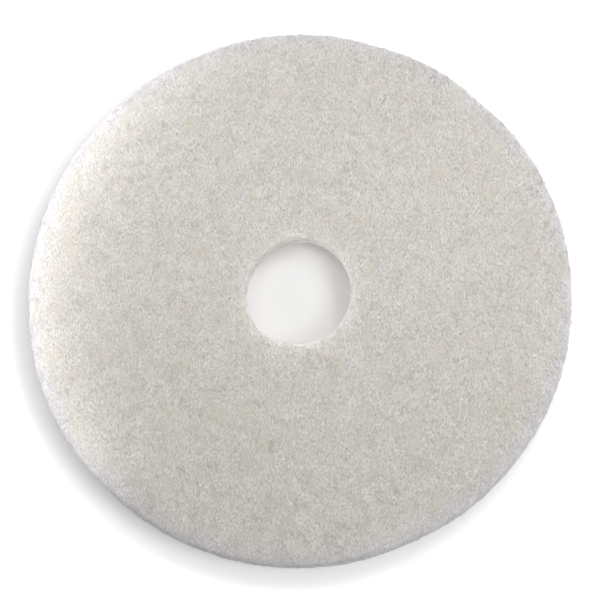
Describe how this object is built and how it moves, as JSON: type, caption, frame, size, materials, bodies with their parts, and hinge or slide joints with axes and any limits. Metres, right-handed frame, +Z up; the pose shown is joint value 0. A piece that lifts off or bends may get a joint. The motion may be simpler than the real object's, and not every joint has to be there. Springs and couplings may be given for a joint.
{
  "type": "floor polishing pad",
  "caption": "Flat white disc of bonded nonwoven fibre with a round hole at its middle, for buffing hard floors under a rotary floor machine.",
  "frame": {"origin": "centre of the lower face, on the hole's axis, in the plane that the pad lies on", "axes": "+Z up along the hole's axis, from the floor face to the driver face; +Y along the web's machine direction"},
  "size_m": [0.4322, 0.4327, 0.0254],
  "materials": {
    "bonded_fibre": "matte off-white nonwoven of crimped polyester fibres bonded with a clear resin, open and springy, with a fine mottled fibre texture"
  },
  "bodies": {
    "root": {"polishing_pad": "bonded_fibre"}
  },
  "joints": []
}
